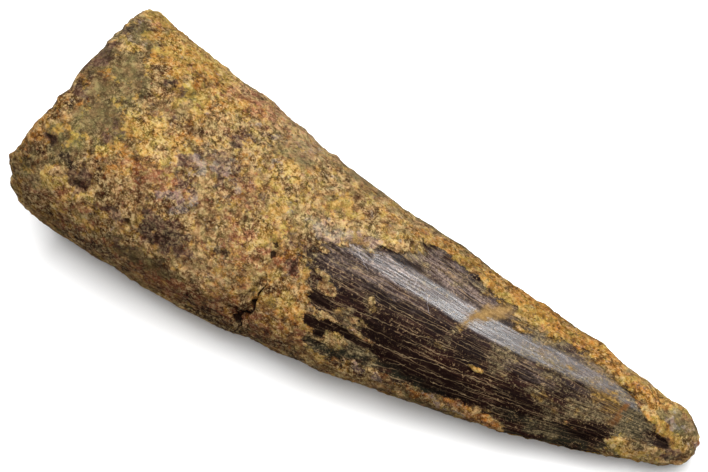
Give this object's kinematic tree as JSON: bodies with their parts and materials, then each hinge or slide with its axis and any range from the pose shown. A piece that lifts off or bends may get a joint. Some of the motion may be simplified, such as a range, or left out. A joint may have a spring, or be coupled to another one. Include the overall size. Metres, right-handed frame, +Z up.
{
  "type": "fossil spinosaurus tooth",
  "caption": "Fossil spinosaurus tooth lying on its side: a blunt conical crown with fluted dark enamel, and a broken root crusted with ochre sandstone.",
  "frame": {"origin": "under the middle of the tooth's box, on the surface that it rests on", "axes": "+X from the broken root to the tip, +Z up; the convex edge faces -Y"},
  "size_m": [0.101, 0.0344, 0.0264],
  "materials": {
    "fossil": "rough sandstone crust, with satin enamel where it has come away"
  },
  "bodies": {
    "root": {"tooth": "fossil"}
  },
  "joints": []
}
